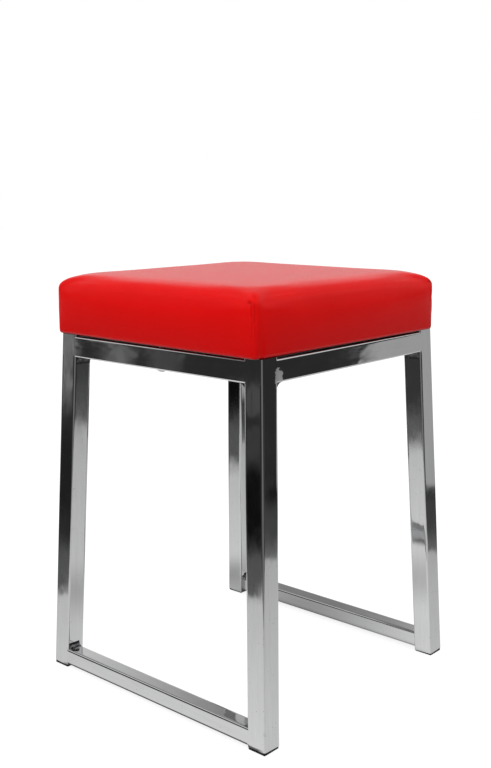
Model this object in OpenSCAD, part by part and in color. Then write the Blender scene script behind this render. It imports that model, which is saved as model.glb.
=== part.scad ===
// Low square stool: two welded loops of square tube, joined by side rails,
// under a box cushion on a plywood board. The front faces -Y.
// Units are millimetres. The origin is on the floor, under the middle of the seat.

/* [Frame] */
// Outer width of the frame over the tops of the legs, the same both ways
frame_w = 320; // [280:1:400]
// Height of the tops of the legs above the floor, where the seat rests
leg_top = 425; // [350:1:700]
// How much further out each foot stands than the top of its leg, both ways
leg_spread = 17.5; // [5:0.5:35]
// How far the top rails sit below the tops of the legs
rail_drop = 2; // [1:0.5:6]
// Height of the underside of the foot rails above the floor
foot_rail_h = 4; // [4:0.5:150]

/* [Tube] */
// Width of the square tube of the legs and top rails
tube_w = 25; // [23:1:30]
// Wall of the leg and top rail tube
tube_wall = 1.5; // [1:0.1:2]
// Outer corner radius of the leg and top rail tube
tube_corner = 2; // [1.5:0.1:3]
// Width of the square tube of the foot rails
foot_tube_w = 20; // [14:1:21]
// Wall of the foot rail tube
foot_tube_wall = 1.5; // [1:0.1:2]
// Outer corner radius of the foot rail tube
foot_tube_corner = 2; // [1.5:0.1:3]
// Thickness of the plate that closes the top of a leg
cap_t = 2; // [1.5:0.1:3]

/* [Welds] */
// Radius of the ground welds in the corners under the top rails
top_weld_r = 9; // [4:0.5:14]
// Radius of the ground welds in the corners above the foot rails
foot_weld_r = 6.5; // [3:0.5:10]
// Thickness at which a weld runs out onto the tube
weld_skin = 0.25; // [0.1:0.05:0.5]

/* [Glides] */
// Thickness of a glide's sole below the outer corner of its leg
sole_h = 3.6; // [3.4:0.1:5]
// Corner radius of the sole
sole_corner = 3.5; // [2:0.1:5]
// Chamfer round the sole where it meets the floor
sole_chamfer = 0.8; // [0.3:0.1:1]
// Length of the plug inside the leg
plug_len = 20; // [12:1:40]
// Width of the plug between its ribs
plug_w = 17; // [12:0.5:18]
// Wall of the hollow plug
plug_wall = 2.5; // [1.5:0.1:4]
// Corner radius of the plug and its ribs
plug_corner = 1.5; // [0.5:0.1:2.5]
// Number of ribs round the plug
plug_ribs = 3; // [2:1:5]
// Thickness of a rib
plug_rib_t = 1.6; // [1:0.1:2]
// Play between the ribs and the inside of the leg
plug_play = 0.15; // [0.1:0.05:0.4]

/* [Seat] */
// How far the seat stands out past the tops of the legs
seat_overhang = 3; // [2:0.5:12]
// Height of the seat's top edge above the legs
seat_side_h = 70; // [50:1:110]
// Rise of the seat's middle above its top edge
seat_crown = 5; // [1:0.5:15]
// Corner radius of the seat, seen from above
seat_corner_r = 8; // [7:0.5:20]
// Radius of the soft edge round the top of the seat
seat_edge_r = 20; // [10:1:24]
// Extra roundness of the corners where the soft edge meets the top
seat_soft_corner = 12; // [2:1:20]
// Radius of the fold round the bottom of the seat
seat_fold_r = 4; // [3:0.5:5]
// How far a side bows out at the middle of its length
seat_bow = 1.5; // [0:0.1:3]
// How far a side swells out at the middle of its height
seat_swell = 0.8; // [0:0.1:2]
// Depth of the sewn seam at each corner
seam_depth = 0.7; // [0.1:0.1:0.9]
// Thickness of the cover
cover_t = 1.2; // [1:0.1:1.5]
// Corner radius of the opening that the turned cover leaves
turn_corner_r = 12; // [4:1:20]
// Clearance between the foam and the cover
foam_play = 0.3; // [0.2:0.1:0.6]

/* [Board] */
// Thickness of the plywood board
board_t = 12; // [9:1:18]
// Clearance between the edge of the board and the fold of the cover
board_play = 0.5; // [0.3:0.1:1.5]
// Thickness of the dust cover
dust_t = 0.5; // [0.3:0.1:0.8]
// Clearance between the dust cover and the legs
dust_play = 2; // [1:0.5:4]
// How far the dust cover laps over the turned edge of the seat cover
dust_lap = 10; // [5:1:25]

/* [Screws] */
// Shank radius of the two screws that hold the seat
screw_r = 3; // [2.5:0.5:4]
// Radius of the holes that the screws pass through
screw_hole_r = 3.4; // [3.4:0.1:5]
// Radius of a screw head
screw_head_r = 6; // [5.5:0.1:7]
// Height of a screw head
screw_head_h = 4; // [3:0.1:5]
// Radius of the ball that rounds a screw head
screw_dome_r = 7; // [7:0.5:12]
// Width across the flats of the hexagon socket in a screw head
socket_w = 4; // [3:0.5:5]
// Depth of the hexagon socket
socket_depth = 2.2; // [1:0.1:2.4]
// How far the end of a screw stays below the top of the board
screw_end_gap = 1; // [0.5:0.5:3]
// Clearance between a screw and the thread of its nut
thread_play = 0.1; // [0.05:0.05:0.2]
// Outer radius of the barrel of a tee nut
nut_barrel_r = 4.4; // [4.3:0.1:5]
// Length of the barrel of a tee nut, under its flange
nut_barrel_len = 7; // [4:0.5:7.5]
// Radius of the flange of a tee nut
nut_flange_r = 9.5; // [7:0.5:10.5]
// Thickness of the flange of a tee nut
nut_flange_t = 1.2; // [0.8:0.1:1.5]
// Clearance between a tee nut and the board
nut_play = 0.1; // [0.05:0.05:0.3]

/* [Hidden] */
$fn = 48;

// Colours of the finishes
chrome = [0.78, 0.79, 0.81];
ground_weld = [0.70, 0.71, 0.73];
black_plastic = [0.05, 0.05, 0.05];
red_vinyl = [0.80, 0.06, 0.06];
foam_yellow = [0.93, 0.86, 0.62];
plywood = [0.78, 0.64, 0.45];
black_fleece = [0.09, 0.09, 0.10];
zinc = [0.66, 0.67, 0.66];

// Which way each corner of the frame lies from the middle
front_left = [-1, -1];
front_right = [1, -1];
back_left = [-1, 1];
back_right = [1, 1];
corners = [front_left, front_right, back_left, back_right];

// How far a cutting shape runs past what it cuts
overrun = 6;

// Angle at which the plane of each loop leans
lean = atan(leg_spread / leg_top);
// Angle of a leg within the plane of its loop
splay = atan(leg_spread / leg_top * cos(lean));
// Heights along the plane of a loop, counted down from the tops of the legs
rail_top_run = rail_drop / cos(lean);
rail_under_run = rail_top_run + tube_w;
foot_under_run = (leg_top - foot_rail_h) / cos(lean);
foot_top_run = foot_under_run - foot_tube_w;
// Length of a leg tube along its outer corner
leg_len = (leg_top - sole_h) / (cos(splay) * cos(lean));
// Half length of the bars that the rails are cut from
rail_half_len = frame_w / 2 + leg_spread;
// How far apart the ribs of a plug lie, and how deep the plug is rooted in its sole
rib_pitch = plug_len / plug_ribs;
plug_root = sole_h / 4;
// Half width of a foot where it meets the floor, and how far out its middle lies
foot_half = tube_w / (2 * cos(splay));
foot_mid = frame_w / 2 + leg_spread - foot_half;

// Half width of the seat, and the heights that its shape is drawn from
seat_half = frame_w / 2 + seat_overhang;
seat_edge_z = leg_top + seat_side_h;
board_under_z = leg_top + cover_t;
board_top_z = board_under_z + board_t;
board_half = seat_half - seat_fold_r - board_play;
board_corner_r = seat_corner_r - seat_fold_r;
dust_half = frame_w / 2 - tube_w / cos(lean) - dust_play;
turned_half = dust_half - dust_lap;

// The screws stand upright, in the middle of the front and back rails
screw_y = frame_w / 2 - tube_w / 2;
rail_edge_y = frame_w / 2 + rail_under_run * sin(lean);
rail_edge_z = leg_top - rail_under_run * cos(lean);
screw_seat_z = rail_edge_z - (rail_edge_y - screw_y + screw_head_r) * tan(lean);
screw_end_z = board_top_z - screw_end_gap;

// Mirrors what is drawn at the back right corner to another corner
module at_corner(corner) {
  mirror([corner.x < 0 ? 1 : 0, 0, 0]) mirror([0, corner.y < 0 ? 1 : 0, 0]) children();
}

// Axes of the back right leg: the origin is its outer top corner, and Z runs up the leg
module leg_axes() {
  translate([frame_w / 2, frame_w / 2, leg_top]) rotate([lean, 0, 0]) rotate([0, -splay, 0]) children();
}

// Axes of the back loop: X runs along the rails, Z up the plane, and Y out of it
module loop_axes() {
  translate([0, frame_w / 2, leg_top]) rotate([lean, 0, 0]) children();
}

// Axes of the right top rail, which leans as the legs do
module side_axes() {
  translate([frame_w / 2, 0, leg_top]) rotate([0, -lean, 0]) children();
}

// Distance from the middle of a loop to the inner face of a leg, at a run below its top
function leg_inner_x(run) = frame_w / 2 - tube_w / cos(splay) + run * tan(splay);
// Distance from the middle of the frame to the inner plane of a loop, at a depth below the leg tops
function loop_inner_y(depth) = frame_w / 2 - tube_w / cos(lean) + depth * tan(lean);

// Square with rounded corners, whose outer corner is at the origin
module rounded_square(w, r) {
  translate([-w, -w]) {
    if (r > 0) {
      translate([r, 0]) square([w - 2 * r, w]);
      translate([0, r]) square([w, w - 2 * r]);
      for (x = [r, w - r], y = [r, w - r]) translate([x, y]) circle(r);
    } else {
      square(w);
    }
  }
}

module tube_profile(w, wall, corner_r) {
  difference() {
    rounded_square(w, corner_r);
    translate([-wall, -wall]) rounded_square(w - 2 * wall, corner_r - wall);
  }
}

// Block of space above a level, round the back right leg
module space_above(z) {
  translate([frame_w / 2 - 2 * tube_w, frame_w / 2 - 2 * tube_w, z]) cube(3 * tube_w + leg_spread);
}

// Block of space below a level, round the back right leg
module space_below(z) {
  translate([0, 0, z]) mirror([0, 0, 1]) space_above(0);
}

module leg_tube() {
  difference() {
    leg_axes() translate([0, 0, -leg_len])
      linear_extrude(leg_len + overrun) tube_profile(tube_w, tube_wall, tube_corner);
    space_above(leg_top - cap_t);
  }
}

module leg(corner) {
  color(chrome) at_corner(corner) leg_tube();
}

// The plate follows the outline of the leaning leg and is ground flush with it
module leg_cap() {
  difference() {
    leg_axes() translate([0, 0, -2 * cap_t - overrun])
      linear_extrude(2 * cap_t + 2 * overrun) rounded_square(tube_w, tube_corner);
    space_above(leg_top);
    space_below(leg_top - cap_t);
  }
}

module leg_caps() {
  color(ground_weld) for (corner = corners) at_corner(corner) leg_cap();
}

// Carries the outline of a loop's rail through the loop, from leg to leg
module along_loop(top_run) {
  translate([-rail_half_len, 0, -top_run]) rotate([90, 0, 90]) linear_extrude(2 * rail_half_len) children();
}

// Carries the outline of a side rail through the frame, from loop to loop
module along_side() {
  translate([0, rail_half_len, -rail_top_run]) rotate([90, 0, 0]) linear_extrude(2 * rail_half_len) children();
}

// Tube between the two legs of a loop, cut to their leaning inner faces
module loop_rail(w, wall, corner_r, top_run) {
  upper_run = top_run - overrun;
  lower_run = top_run + w + overrun;
  loop_axes() intersection() {
    along_loop(top_run) tube_profile(w, wall, corner_r);
    translate([0, overrun, 0]) rotate([90, 0, 0]) linear_extrude(w + 2 * overrun)
      polygon([
        [-leg_inner_x(upper_run), -upper_run], [leg_inner_x(upper_run), -upper_run],
        [leg_inner_x(lower_run), -lower_run], [-leg_inner_x(lower_run), -lower_run]
      ]);
  }
}

module drilled_top_rail() {
  difference() {
    loop_rail(tube_w, tube_wall, tube_corner, rail_top_run);
    translate([0, screw_y, rail_edge_z - overrun]) cylinder(r = screw_hole_r, h = tube_w + 2 * overrun);
  }
}

module front_top_rail() {
  color(chrome) at_corner(front_right) drilled_top_rail();
}

module back_top_rail() {
  color(chrome) at_corner(back_right) drilled_top_rail();
}

module foot_rail(corner) {
  color(chrome) at_corner(corner) loop_rail(foot_tube_w, foot_tube_wall, foot_tube_corner, foot_top_run);
}

// Tube between the two loops, cut to their leaning inner planes
module side_top_rail(corner) {
  upper = rail_drop - overrun;
  lower = rail_drop + tube_w + overrun;
  color(chrome) at_corner(corner) intersection() {
    side_axes() along_side() tube_profile(tube_w, tube_wall, tube_corner);
    translate([frame_w / 2 - 2 * tube_w, 0, leg_top]) rotate([90, 0, 90]) linear_extrude(3 * tube_w)
      polygon([
        [-loop_inner_y(upper), -upper], [loop_inner_y(upper), -upper],
        [loop_inner_y(lower), -lower], [-loop_inner_y(lower), -lower]
      ]);
  }
}

// Hollow-faced fillet between a face that runs to -X from the origin and one at an angle below it
module weld_profile(r, angle) {
  reach = (r + weld_skin) / tan(angle / 2);
  centre_dist = (r + weld_skin) / sin(angle / 2);
  centre = [centre_dist * cos(180 + angle / 2), centre_dist * sin(180 + angle / 2)];
  difference() {
    polygon([[0, 0], [-reach, 0], centre, [reach * cos(180 + angle), reach * sin(180 + angle)]]);
    translate(centre) circle(r);
  }
}

// Weld across the flat of a tube, drawn in the X and Z axes of a loop
module weld_bead(r, angle, w, corner_r) {
  translate([0, -corner_r, 0]) rotate([90, 0, 0]) linear_extrude(w - 2 * corner_r) weld_profile(r, angle);
}

// What the rounding of a leg's corner leaves open, beside the rail that meets the leg there
module open_corner() {
  leg_axes() translate([-tube_w, 0, -leg_len]) linear_extrude(leg_len) difference() {
    translate([0, -tube_corner]) square(tube_corner);
    translate([tube_corner, -tube_corner]) circle(tube_corner);
  }
}

// Butt weld that fills the open corner, ground flush with the outer faces of a leg and its loop's rail
module loop_butt_weld(w, corner_r, top_run) {
  intersection() {
    open_corner();
    loop_axes() along_loop(top_run) rounded_square(w, corner_r);
  }
}

// The same weld between a leg and a side rail, on the leg's other outer face
module side_butt_weld() {
  intersection() {
    mirror([1, -1, 0]) open_corner();
    side_axes() along_side() rounded_square(tube_w, tube_corner);
  }
}

// Each leg carries two joints at the top, with its loop's rail and with the side rail
module top_corner_welds() {
  color(ground_weld) for (corner = corners) at_corner(corner) {
    loop_butt_weld(tube_w, tube_corner, rail_top_run);
    side_butt_weld();
    loop_axes() translate([leg_inner_x(rail_under_run), 0, -rail_under_run])
      weld_bead(top_weld_r, 90 + splay, tube_w, tube_corner);
    side_axes() translate([0, loop_inner_y(rail_drop + tube_w), -rail_under_run]) rotate([0, 0, 90])
      mirror([0, 1, 0]) weld_bead(top_weld_r, 90 + lean, tube_w, tube_corner);
  }
}

module foot_corner_welds() {
  color(ground_weld) for (corner = corners) at_corner(corner) {
    loop_butt_weld(foot_tube_w, foot_tube_corner, foot_top_run);
    loop_axes() translate([leg_inner_x(foot_top_run), 0, -foot_top_run]) mirror([0, 0, 1])
      weld_bead(foot_weld_r, 90 - splay, foot_tube_w, foot_tube_corner);
  }
}

// Wedge that breaks one edge of a sole at the floor
module sole_edge_cut() {
  translate([foot_half, foot_half + overrun, 0]) rotate([90, 0, 0])
    linear_extrude(2 * (foot_half + overrun))
      polygon([[-sole_chamfer - overrun, -overrun], [overrun, -overrun], [overrun, sole_chamfer + overrun]]);
}

// Sole that follows the leg and is cut level at the floor
module glide_sole() {
  difference() {
    leg_axes() translate([0, 0, -leg_len - sole_h - overrun])
      linear_extrude(sole_h + overrun) rounded_square(tube_w, sole_corner);
    space_below(0);
    translate([foot_mid, foot_mid, 0])
      for (turn = [0:3]) rotate([0, 0, 90 * turn]) sole_edge_cut();
  }
}

// Hollow square plug with ribs that grip the inside of the leg
module glide_plug() {
  rib_inset = tube_wall + plug_play;
  plug_inset = (tube_w - plug_w) / 2;
  hollow_inset = plug_inset + plug_wall;
  leg_axes() translate([0, 0, -leg_len]) difference() {
    union() {
      translate([-plug_inset, -plug_inset, -plug_root])
        linear_extrude(plug_root + plug_len) rounded_square(plug_w, plug_corner);
      for (rib = [1:plug_ribs])
        translate([-rib_inset, -rib_inset, rib * rib_pitch - plug_rib_t])
          linear_extrude(plug_rib_t) rounded_square(tube_w - 2 * rib_inset, plug_corner);
    }
    translate([-hollow_inset, -hollow_inset, 0])
      linear_extrude(plug_len + overrun) rounded_square(plug_w - 2 * plug_wall, plug_corner);
  }
}

module glide(corner) {
  color(black_plastic) at_corner(corner) {
    glide_sole();
    glide_plug();
  }
}

// Points round the seat at one level. Each quarter has a corner arc and one side.
// The share list packs the arc's points round the seam in its middle.
seam_arc_shares = [0, 0.3, 0.45, 0.5, 0.55, 0.7, 1];
side_steps = 3;
ring_len = 4 * (len(seam_arc_shares) + side_steps);

function turned(p, quarter) =
  [p.x * cos(90 * quarter) - p.y * sin(90 * quarter), p.x * sin(90 * quarter) + p.y * cos(90 * quarter)];

function quarter_ring(half, r, bow, seam) = concat(
  [for (share = seam_arc_shares)
    let (reach = share == 0.5 ? r - seam : r)
    [half - r + reach * cos(90 * share), half - r + reach * sin(90 * share)]],
  [for (step = [1:side_steps])
    let (along = 1 - 2 * step / (side_steps + 1))
    [(half - r) * along, half + bow * (1 - along * along)]]
);

// A ring is [half width, corner radius, height, bow of its sides, depth of its seams, share of its width]
function ring_points(ring) = [
  for (quarter = [0:3], p = quarter_ring(ring[0], ring[1], ring[3], ring[4]))
    let (q = turned(p, quarter)) [q.x * ring[5], q.y * ring[5], ring[2]]
];

// Shares of the seat's form that its rings are drawn at
fold_shares = [0, 0.4, 0.7, 1];
side_shares = [0.33, 0.67];
edge_shares = [0, 0.25, 0.5, 0.75, 1];
crown_shares = [0.8, 0.5, 0.22];

// Rings from the fold under the seat up its side and over its top, a depth inside the cover's surface
function fold_rings(depth, shares) = [
  for (share = shares)
    let (inset = seat_fold_r - (seat_fold_r - depth) * sin(90 * share))
    [seat_half - inset, seat_corner_r - inset, leg_top + seat_fold_r - (seat_fold_r - depth) * cos(90 * share),
      seat_bow, 0, 1]
];
function side_rings(depth, seam) = [
  for (share = side_shares)
    let (swell = seat_swell * 4 * share * (1 - share))
    [seat_half - depth + swell, seat_corner_r - depth + swell,
      leg_top + seat_fold_r + (seat_side_h - seat_fold_r - seat_edge_r) * share, seat_bow, seam, 1]
];
function edge_ring(depth, share, seam) =
  let (inset = seat_edge_r - (seat_edge_r - depth) * cos(90 * share))
  [seat_half - inset, seat_corner_r - depth + seat_soft_corner * share,
    seat_edge_z - seat_edge_r + (seat_edge_r - depth) * sin(90 * share), seat_bow, seam * (1 - share), 1];
function edge_rings(depth, seam) = [for (share = edge_shares) edge_ring(depth, share, seam)];
function crown_rings(depth) =
  let (rim = edge_ring(depth, 1, 0))
  [for (share = crown_shares)
    [rim[0], rim[1], rim[2] + seat_crown * (1 - share * share), rim[3], 0, share]];
function top_point(depth) = [0, 0, seat_edge_z - depth + seat_crown];

// Closed skin over a list of rings, from a first point to a last one on the axis
module ring_solid(first_point, rings, last_point) {
  points = concat([first_point], [for (ring = rings) each ring_points(ring)], [last_point]);
  last = len(points) - 1;
  function next(k) = (k + 1) % ring_len;
  faces = concat(
    [for (k = [0:ring_len - 1]) [0, 1 + k, 1 + next(k)]],
    [for (level = [0:len(rings) - 2], k = [0:ring_len - 1])
      let (low = 1 + level * ring_len, high = low + ring_len)
      each [[low + k, high + k, high + next(k)], [low + k, high + next(k), low + next(k)]]],
    [for (k = [0:ring_len - 1]) [last, last - ring_len + next(k), last - ring_len + k]]
  );
  polyhedron(points, faces);
}

// The cover's outer surface runs down to its turned edge, and back up inside
module cover_shell() {
  turned_under = [turned_half, turn_corner_r, leg_top, 0, 0, 1];
  turned_over = [turned_half, turn_corner_r, leg_top + cover_t, 0, 0, 1];
  outer = concat([turned_under], fold_rings(0, fold_shares), side_rings(0, seam_depth),
    edge_rings(0, seam_depth), crown_rings(0));
  inner = concat([turned_over], fold_rings(cover_t, fold_shares), side_rings(cover_t, 0),
    edge_rings(cover_t, 0), crown_rings(cover_t));
  inner_from_top = [for (k = [len(inner) - 1:-1:0]) inner[k]];
  ring_solid(top_point(cover_t), concat(inner_from_top, outer), top_point(0));
}

module screw_places() {
  for (corner = [front_right, back_right]) at_corner(corner) translate([0, screw_y, 0]) children();
}

module seat_cover() {
  color(red_vinyl) difference() {
    cover_shell();
    screw_places() translate([0, 0, leg_top - overrun]) cylinder(r = screw_hole_r, h = cover_t + 2 * overrun);
  }
}

// The foam is hollowed below, so that it sits on the board and wraps its edge
module seat_foam() {
  depth = cover_t + foam_play;
  pocket_half = board_half + foam_play;
  pocket_r = board_corner_r + foam_play;
  skirt_z = leg_top + seat_fold_r;
  pocket_top = [pocket_half, pocket_r, board_top_z, 0, 0, 1];
  pocket_rim = [pocket_half, pocket_r, skirt_z, 0, 0, 1];
  skirt = [seat_half - depth, seat_corner_r - depth, skirt_z, seat_bow, 0, 1];
  color(foam_yellow) ring_solid([0, 0, board_top_z],
    concat([pocket_top, pocket_rim, skirt], side_rings(depth, 0), edge_rings(depth, 0), crown_rings(depth)),
    top_point(depth));
}

module seat_board() {
  color(plywood) difference() {
    translate([board_half, board_half, board_under_z])
      linear_extrude(board_t) rounded_square(2 * board_half, board_corner_r);
    screw_places() {
      translate([0, 0, board_under_z - overrun])
        cylinder(r = nut_barrel_r + nut_play, h = board_t + 2 * overrun);
      translate([0, 0, board_top_z - nut_flange_t]) cylinder(r = nut_flange_r + nut_play, h = overrun);
    }
  }
}

module dust_cover() {
  color(black_fleece) translate([-dust_half, -dust_half, leg_top - dust_t])
    cube([2 * dust_half, 2 * dust_half, dust_t]);
}

module tee_nuts() {
  color(zinc) screw_places() difference() {
    union() {
      translate([0, 0, board_top_z - nut_flange_t]) cylinder(r = nut_flange_r, h = nut_flange_t);
      translate([0, 0, board_top_z - nut_flange_t - nut_barrel_len])
        cylinder(r = nut_barrel_r, h = nut_barrel_len + nut_flange_t);
    }
    translate([0, 0, board_under_z - overrun])
      cylinder(r = screw_r + thread_play, h = board_t + 2 * overrun);
  }
}

// Domed head under the rail, and a shank up through the rail into the tee nut
module seat_screws() {
  head_bottom_z = screw_seat_z - screw_head_h;
  color(zinc) screw_places() {
    difference() {
      intersection() {
        translate([0, 0, head_bottom_z]) cylinder(r = screw_head_r, h = screw_head_h);
        translate([0, 0, head_bottom_z + screw_dome_r]) sphere(screw_dome_r);
      }
      translate([0, 0, head_bottom_z - overrun])
        cylinder(d = socket_w / cos(30), h = socket_depth + overrun, $fn = 6);
    }
    translate([0, 0, screw_seat_z]) cylinder(r = screw_r, h = screw_end_z - screw_seat_z);
  }
}

leg(front_left);  // front_left_leg
leg(front_right);  // front_right_leg
leg(back_left);  // back_left_leg
leg(back_right);  // back_right_leg
front_top_rail();
back_top_rail();
side_top_rail(front_left);  // left_top_rail
side_top_rail(front_right);  // right_top_rail
foot_rail(front_right);  // front_foot_rail
foot_rail(back_right);  // back_foot_rail
leg_caps();
top_corner_welds();
foot_corner_welds();
glide(front_left);  // front_left_glide
glide(front_right);  // front_right_glide
glide(back_left);  // back_left_glide
glide(back_right);  // back_right_glide
seat_board();
seat_foam();
seat_cover();
dust_cover();
tee_nuts();
seat_screws();
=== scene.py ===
# %% [markdown]
# # A low square stool
#
# The stool is a chromed frame of welded square tube under a red box cushion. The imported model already
# holds every piece at its real size, so this lesson adds only looks: finishes, a soft cushion that a
# cloth simulation fills out, a stapled dust cover, and a small photographic studio around it all.
# Lengths are in metres, as Blender counts them, and `mm` turns a size in millimetres into one.

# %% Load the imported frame
import math

import bmesh
import bpy
import numpy as np
from mathutils import Matrix, Vector


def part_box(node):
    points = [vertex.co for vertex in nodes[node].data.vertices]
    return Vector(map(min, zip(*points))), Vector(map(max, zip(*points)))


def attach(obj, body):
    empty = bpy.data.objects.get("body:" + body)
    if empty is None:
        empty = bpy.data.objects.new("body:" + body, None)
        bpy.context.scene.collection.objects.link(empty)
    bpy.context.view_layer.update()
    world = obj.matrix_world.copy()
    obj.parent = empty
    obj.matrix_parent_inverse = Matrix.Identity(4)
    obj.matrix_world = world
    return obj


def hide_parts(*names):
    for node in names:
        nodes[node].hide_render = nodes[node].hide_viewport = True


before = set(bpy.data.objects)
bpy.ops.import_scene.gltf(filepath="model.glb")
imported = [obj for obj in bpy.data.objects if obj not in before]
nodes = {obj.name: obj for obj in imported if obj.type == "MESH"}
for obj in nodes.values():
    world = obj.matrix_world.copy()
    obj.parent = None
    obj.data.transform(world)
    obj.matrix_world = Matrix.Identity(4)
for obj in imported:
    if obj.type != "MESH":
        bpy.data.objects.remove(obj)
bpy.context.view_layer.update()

mm = 0.001
scene = bpy.context.scene
print("nodes in the frame:", len(nodes))

# %% [markdown]
# The camera stands where the photographer stood. A camera is a matrix whose columns are its right hand,
# its upward side and its back, so three angles and a place are enough. The focal length is known in
# pixels of the picture, and Blender wants it in millimetres on a sensor whose long side is 36 mm.

# %% Place the camera
picture_long_side = 768
focal_length_in_pixels = 1063.1
sensor_long_side = 36.0
camera_place = Vector((857.4, -968.1, 598.1)) * mm
camera_turn = math.radians(41.704)
camera_dip = math.radians(10.497)
camera_roll = math.radians(-0.326)


def camera_axes(turn, dip, roll):
    """The camera's right hand, upward side and back, as three unit vectors."""
    ahead = Vector((-math.sin(turn) * math.cos(dip), math.cos(turn) * math.cos(dip), -math.sin(dip)))
    level_right = Vector((math.cos(turn), math.sin(turn), 0))
    level_up = level_right.cross(ahead)
    right = level_right * math.cos(roll) + level_up * math.sin(roll)
    up = level_up * math.cos(roll) - level_right * math.sin(roll)
    return right, up, -ahead


camera_data = bpy.data.cameras.new("studio_camera")
camera_data.sensor_width = sensor_long_side
camera_data.lens = focal_length_in_pixels * sensor_long_side / picture_long_side
camera = bpy.data.objects.new("studio_camera", camera_data)
scene.collection.objects.link(camera)
axes = Matrix(camera_axes(camera_turn, camera_dip, camera_roll)).transposed()
camera.matrix_world = Matrix.Translation(camera_place) @ axes.to_4x4()
scene.camera = camera
scene.view_settings.view_transform = "Standard"
print("lens, mm:", round(camera_data.lens, 2))

# %% [markdown]
# Materials and the world are graphs of nodes. Adding a node, filling its sockets and joining it to
# others always takes the same lines, so two small helpers do that. A value may be a number, a colour,
# or the output of another node, and in the last case the helper draws the link.

# %% Helpers for node trees


def add_node(tree, kind, inputs=None, **settings):
    """A new node with its settings and its inputs, each a value or another node's output."""
    node = tree.nodes.new(kind)
    for name, value in settings.items():
        setattr(node, name, value)
    for key, value in (inputs or {}).items():
        socket = node.inputs[key]
        if isinstance(value, bpy.types.NodeSocket):
            tree.links.new(value, socket)
        else:
            socket.default_value = value
    return node


def compute(tree, operation, first, second=0.0, third=0.0, clamp=False):
    """The output of a Math node."""
    node = add_node(tree, "ShaderNodeMath", {0: first, 1: second, 2: third}, operation=operation)
    node.use_clamp = clamp
    return node.outputs[0]


def remap(tree, value, low, high, to_low=0.0, to_high=1.0, smooth=True):
    """A value carried from one range to another, and held at the ends."""
    node = add_node(tree, "ShaderNodeMapRange",
                    {"Value": value, "From Min": low, "From Max": high, "To Min": to_low, "To Max": to_high})
    node.interpolation_type = "SMOOTHSTEP" if smooth else "LINEAR"
    return node.outputs["Result"]


# %% [markdown]
# Chrome has hardly any colour of its own: what it shows is the room. In a product studio that is a pale
# floor close by, a pale wall behind, and darkness at both sides with a few dim things standing in it.
# So the world is painted by direction. Directions are turned to the camera's heading first, so that
# `side` is 0 straight ahead and grows to the right, and `height` is the angle above the horizon. All
# angles of the studio are in degrees, and a light of 1 is white. A few more helpers do the arithmetic.

# %% Helpers for painting by direction


def product(tree, first, *others):
    """The product of some values."""
    for other in others:
        first = compute(tree, "MULTIPLY", first, other)
    return first


def mix_values(tree, share, first, second):
    """The first value where the share is 0 and the second where it is 1."""
    return add_node(tree, "ShaderNodeMix", {0: share, 2: first, 3: second}).outputs[0]


def angle_window(tree, value, centre, half_width, soft):
    """1 where an angle is within a half width of a centre, with soft ends."""
    away = compute(tree, "ABSOLUTE", compute(tree, "SUBTRACT", value, centre))
    return remap(tree, away, half_width, half_width + soft, 1.0, 0.0)


def grey(value):
    """A grey as a colour for a socket."""
    return value, value, value, 1


# %% [markdown]
# The dark room comes first. It gets lighter towards the ceiling and behind the camera, and big soft
# lights hang high on both sides. The dim things in it are what breaks up the dark face of each leg: each
# is a window in both angles that adds a little light, or takes some away.

# %% Paint the dark room
room_light = 0.036                      # at the horizon
room_top_light = 0.42
room_top_fade = (4.0, 45.0)             # the heights between which it gets lighter
front_light = 0.20                      # what is added behind the camera
front_fade = (120.0, 150.0)
floor_line_light = 0.10                 # a dim line where the dark floor ends
floor_line_fade = (-16.4, -15.4)
least_light = 0.006
# Dim things in the room: how far round, half width, softness, lowest and highest angle, softness, light
room_things = [
    (-87.1, 0.55, 0.45, -7.4, 6.0, 1.8, 0.26),
    (-90.2, 0.45, 0.30, -8.5, 6.0, 0.5, 0.19),
    (-92.7, 0.55, 0.40, -8.5, 6.0, 0.5, 0.07),
    (-97.8, 1.00, 0.50, -8.5, -7.2, 0.4, 0.07),
    (-97.4, 0.90, 0.60, -11.2, -9.6, 0.4, 0.035),
    (-106.0, 3.00, 3.00, -17.0, -12.5, 2.0, 0.02),
    (90.5, 3.00, 3.00, -17.0, -9.0, 2.0, 0.035),
    (83.0, 12.00, 4.00, -17.0, -14.2, 0.8, 0.04),
    (-97.8, 2.60, 3.00, -15.4, -11.4, 0.5, -0.031),
    (-87.5, 2.00, 2.00, -13.8, -10.2, 0.8, -0.013),
    (83.0, 1.50, 1.50, -13.6, -12.6, 0.6, -0.025),
]
# Big soft lights: how far round, half width, softness, light
room_lights = [(-74.0, 15.0, 6.0, 0.75), (-105.0, 14.0, 8.0, 0.22), (80.0, 22.0, 10.0, 0.9)]
room_lights_height = (34.0, 22.0, 8.0)  # their middle, half height and softness


def paint_room(tree, side, around, height):
    """The dark room with its dim things, its grey front, its soft lights and the line of its floor."""
    room = remap(tree, height, *room_top_fade, room_light, room_top_light)
    for centre, half_width, soft, low, high, height_soft, light in room_things:
        tall = angle_window(tree, height, (low + high) / 2, (high - low) / 2, height_soft)
        shown = product(tree, angle_window(tree, side, centre, half_width, soft), tall)
        room = compute(tree, "MULTIPLY_ADD", shown, light, room)
    room = compute(tree, "MULTIPLY_ADD", remap(tree, around, *front_fade), front_light, room)
    high_up = angle_window(tree, height, *room_lights_height)
    for centre, half_width, soft, light in room_lights:
        shown = product(tree, angle_window(tree, side, centre, half_width, soft), high_up)
        room = compute(tree, "MULTIPLY_ADD", shown, light, room)
    floor_line = remap(tree, height, *floor_line_fade, floor_line_light, 0.0)
    return compute(tree, "MAXIMUM", compute(tree, "ADD", room, floor_line), least_light)


print("dim things in the room:", len(room_things), "and big lights:", len(room_lights))

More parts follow.
